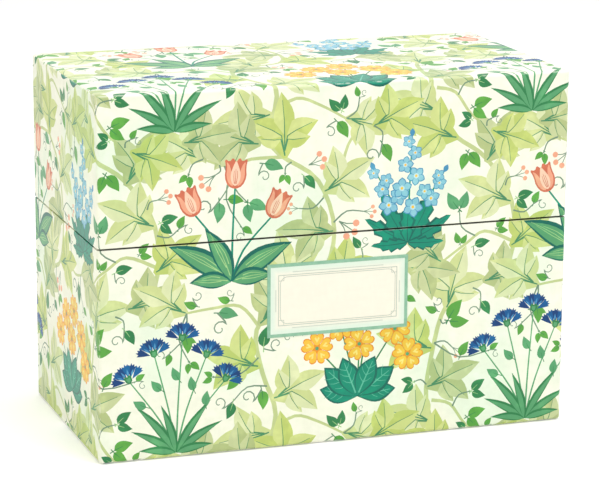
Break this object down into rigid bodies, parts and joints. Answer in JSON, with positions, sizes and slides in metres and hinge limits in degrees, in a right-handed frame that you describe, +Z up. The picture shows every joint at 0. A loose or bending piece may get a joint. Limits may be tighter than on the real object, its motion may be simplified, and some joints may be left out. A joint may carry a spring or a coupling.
{
  "type": "recipe box",
  "caption": "Rigid paper-covered card box with a hinged flip-top lid over a raised neck, holding recipe cards in sections behind tabbed dividers.",
  "frame": {"origin": "middle of the underside, on the surface that the box stands on", "axes": "+Z up, +X along the front from left to right, front facing -Y and hinge at +Y"},
  "size_m": [0.171, 0.0894, 0.1275],
  "materials": {
    "printed_paper": "satin printed paper, floral",
    "greyboard": "matte",
    "stay_tape": "matte kraft",
    "underside_paper": "matte",
    "lining_paper": "matte",
    "neck_paper": "matte",
    "label_paper": "satin with a printed border",
    "divider_green": "matte card",
    "divider_yellow": "matte card",
    "divider_coral": "matte card",
    "divider_blue": "matte card",
    "divider_teal": "matte card",
    "divider_lime": "matte card",
    "card_stock": "uncoated card"
  },
  "bodies": {
    "base": {"base_tray": "greyboard", "base_corner_stays": "stay_tape", "base_wrap": "printed_paper", "base_bottom_sheet": "underside_paper", "base_lining": "lining_paper", "neck_board": "greyboard", "neck_sleeve": "neck_paper", "front_label": "label_paper", "outer_hinge_base_leaf": "printed_paper", "inner_hinge_base_leaf": "lining_paper"},
    "lid": {"lid_tray": "greyboard", "lid_corner_stays": "stay_tape", "lid_wrap": "printed_paper", "lid_lining": "lining_paper", "outer_hinge_lid_leaf": "printed_paper", "inner_hinge_lid_leaf": "lining_paper"},
    "section_1": {"divider_1": "divider_green", "card_pack_1": "card_stock"},
    "section_2": {"divider_2": "divider_yellow", "card_pack_2": "card_stock"},
    "section_3": {"divider_3": "divider_coral", "card_pack_3": "card_stock"},
    "section_4": {"divider_4": "divider_blue", "card_pack_4": "card_stock"},
    "section_5": {"divider_5": "divider_teal", "card_pack_5": "card_stock"},
    "section_6": {"divider_6": "divider_lime", "card_pack_6": "card_stock"}
  },
  "joints": [
    {"name": "lid_hinge", "type": "hinge", "parent": "base", "child": "lid", "pos_m": [0, 0.04485, 0.0752], "axis": [-1, 0, 0], "range_deg": [0, 180]},
    {"name": "section_1_tilt", "type": "hinge", "parent": "base", "child": "section_1", "pos_m": [0, 0.0125, 0.00295], "axis": [1, 0, 0], "range_deg": [0, 21]},
    {"name": "section_2_tilt", "type": "hinge", "parent": "base", "child": "section_2", "pos_m": [0, 0.01656, 0.00295], "axis": [1, 0, 0], "range_deg": [0, 17.51]},
    {"name": "section_3_tilt", "type": "hinge", "parent": "base", "child": "section_3", "pos_m": [0, 0.02061, 0.00295], "axis": [1, 0, 0], "range_deg": [0, 14.01]},
    {"name": "section_4_tilt", "type": "hinge", "parent": "base", "child": "section_4", "pos_m": [0, 0.02467, 0.00295], "axis": [1, 0, 0], "range_deg": [0, 10.51]},
    {"name": "section_5_tilt", "type": "hinge", "parent": "base", "child": "section_5", "pos_m": [0, 0.02872, 0.00295], "axis": [1, 0, 0], "range_deg": [0, 7.01]},
    {"name": "section_6_tilt", "type": "hinge", "parent": "base", "child": "section_6", "pos_m": [0, 0.03278, 0.00295], "axis": [1, 0, 0], "range_deg": [0, 3.51]}
  ],
  "couplings": [
    {"joint": "section_2_tilt", "follows": "section_1_tilt", "ratio": 0.83333},
    {"joint": "section_3_tilt", "follows": "section_1_tilt", "ratio": 0.66667},
    {"joint": "section_4_tilt", "follows": "section_1_tilt", "ratio": 0.5},
    {"joint": "section_5_tilt", "follows": "section_1_tilt", "ratio": 0.33333},
    {"joint": "section_6_tilt", "follows": "section_1_tilt", "ratio": 0.16667}
  ]
}
